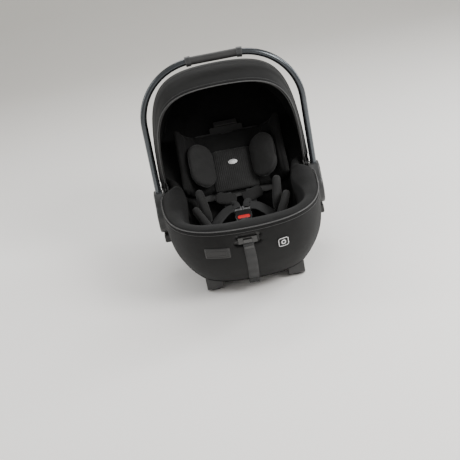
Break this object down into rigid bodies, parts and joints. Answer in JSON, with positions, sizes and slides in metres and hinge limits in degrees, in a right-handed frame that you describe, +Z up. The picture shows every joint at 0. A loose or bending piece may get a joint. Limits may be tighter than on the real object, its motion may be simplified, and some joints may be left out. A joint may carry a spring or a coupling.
{
  "type": "infant car seat",
  "caption": "Rear-facing infant carrier seat with a swinging carry handle, folding canopy, harness and padded headrest.",
  "frame": {"origin": "centre of the bounding box at the underside of the skid pads", "axes": "+Z up, +Y towards the head end, -Y towards the foot end, +X across"},
  "size_m": [0.4456, 0.6691, 0.559],
  "materials": {
    "shell_plastic": "fine grain",
    "inner_plastic": "fine grain",
    "foam": "beaded foam",
    "knit": "knit",
    "canopy_cloth": "woven",
    "soft_knit": "soft knit",
    "ribbed_knit": "ribbed knit",
    "rubber": "matte",
    "tag": "woven label",
    "steel": "zinc plated",
    "ring_plastic": "satin",
    "webbing": "woven webbing",
    "buckle_plastic": "satin",
    "red_button": "satin",
    "handle_metal": "satin",
    "cap_plastic": "satin",
    "grip_leather": "fine grain"
  },
  "bodies": {
    "seat": {"outer_shell": "shell_plastic", "seat_shell": "inner_plastic", "foam_liner": "foam", "seat_cover": "knit", "front_cover": "knit", "lower_tray": "shell_plastic", "skid_left": "shell_plastic", "skid_right": "shell_plastic", "skid_pads": "rubber", "latch_bars": "steel", "tray_screws": "steel", "hub_base_left": "shell_plastic", "hub_base_right": "shell_plastic", "detent_rings": "ring_plastic", "pivot_bolts": "steel", "canopy_mounts": "inner_plastic", "canopy_rear_bow": "inner_plastic", "canopy_rear_panel": "canopy_cloth", "shoulder_strap_left": "webbing", "shoulder_strap_right": "webbing", "lap_straps": "webbing", "crotch_strap": "webbing", "crotch_pad": "soft_knit", "buckle_housing": "buckle_plastic", "buckle_tongues": "steel", "harness_splitter": "inner_plastic", "adjuster_housing": "buckle_plastic", "adjuster_strap": "webbing", "seat_insert": "knit", "torso_wings": "knit", "hip_wings": "knit", "front_patch": "rubber", "front_tag": "tag", "release_housing": "shell_plastic"},
    "handle": {"handle_tube": "handle_metal", "handle_grip": "grip_leather", "grip_collars": "cap_plastic", "hub_cap_left": "cap_plastic", "hub_cap_right": "cap_plastic"},
    "handle_button_left": {"handle_button_left": "cap_plastic"},
    "handle_button_right": {"handle_button_right": "cap_plastic"},
    "canopy_mid": {"canopy_mid_panel": "canopy_cloth", "canopy_mid_bow": "inner_plastic"},
    "canopy_front": {"canopy_front_panel": "canopy_cloth", "canopy_front_bow": "inner_plastic"},
    "headrest": {"headrest_board": "inner_plastic", "headrest_pad": "knit", "head_pillow": "ribbed_knit", "head_pad_left": "soft_knit", "head_pad_right": "soft_knit", "shoulder_pad_left": "soft_knit", "shoulder_pad_right": "soft_knit"},
    "headrest_lever": {"headrest_lever": "ring_plastic"},
    "buckle_button": {"buckle_button": "red_button"},
    "adjuster_button": {"adjuster_button": "buckle_plastic"},
    "release_lever": {"release_lever": "ring_plastic"},
    "adapter_latch_left": {"adapter_latch_left": "ring_plastic"},
    "adapter_latch_right": {"adapter_latch_right": "ring_plastic"}
  },
  "joints": [
    {"name": "handle_swing", "type": "hinge", "parent": "seat", "child": "handle", "pos_m": [0, 0.03, 0.15], "axis": [1, 0, 0], "range_deg": [-108, 0]},
    {"name": "handle_button_left_press", "type": "slide", "parent": "handle", "child": "handle_button_left", "axis": [1, 0, 0], "range_m": [0, 0.004], "stiffness_N_per_m": 800, "springref_m": -0.002},
    {"name": "handle_button_right_press", "type": "slide", "parent": "handle", "child": "handle_button_right", "axis": [-1, 0, 0], "range_m": [0, 0.004], "stiffness_N_per_m": 800, "springref_m": -0.002},
    {"name": "canopy_fold", "type": "hinge", "parent": "seat", "child": "canopy_mid", "pos_m": [0, 0.035, 0.215], "axis": [1, 0, 0], "range_deg": [-21, 0]},
    {"name": "canopy_front_fold", "type": "hinge", "parent": "canopy_mid", "child": "canopy_front", "pos_m": [0, 0.035, 0.215], "axis": [1, 0, 0], "range_deg": [-20, 0]},
    {"name": "headrest_slide", "type": "slide", "parent": "seat", "child": "headrest", "axis": [0, 0.7071, 0.7071], "range_m": [0, 0.08]},
    {"name": "headrest_lever_squeeze", "type": "slide", "parent": "headrest", "child": "headrest_lever", "axis": [0, 0.7071, 0.7071], "range_m": [0, 0.006], "stiffness_N_per_m": 600, "springref_m": -0.002},
    {"name": "buckle_button_press", "type": "slide", "parent": "seat", "child": "buckle_button", "axis": [0, 0.5, -0.866], "range_m": [0, 0.003], "stiffness_N_per_m": 900, "springref_m": -0.002},
    {"name": "adjuster_button_press", "type": "slide", "parent": "seat", "child": "adjuster_button", "axis": [0, 1, 0], "range_m": [0, 0.005], "stiffness_N_per_m": 600, "springref_m": -0.002},
    {"name": "release_lever_pull", "type": "slide", "parent": "seat", "child": "release_lever", "axis": [0, 0, 1], "range_m": [0, 0.012], "stiffness_N_per_m": 500, "springref_m": -0.004},
    {"name": "adapter_latch_left_slide", "type": "slide", "parent": "seat", "child": "adapter_latch_left", "axis": [1, 0, 0], "range_m": [0, 0.006]},
    {"name": "adapter_latch_right_slide", "type": "slide", "parent": "seat", "child": "adapter_latch_right", "axis": [-1, 0, 0], "range_m": [0, 0.006]}
  ],
  "couplings": [
    {"joint": "canopy_front_fold", "follows": "canopy_fold", "ratio": 0.95238},
    {"joint": "adapter_latch_left_slide", "follows": "release_lever_pull", "ratio": 0.5},
    {"joint": "adapter_latch_right_slide", "follows": "release_lever_pull", "ratio": 0.5}
  ]
}
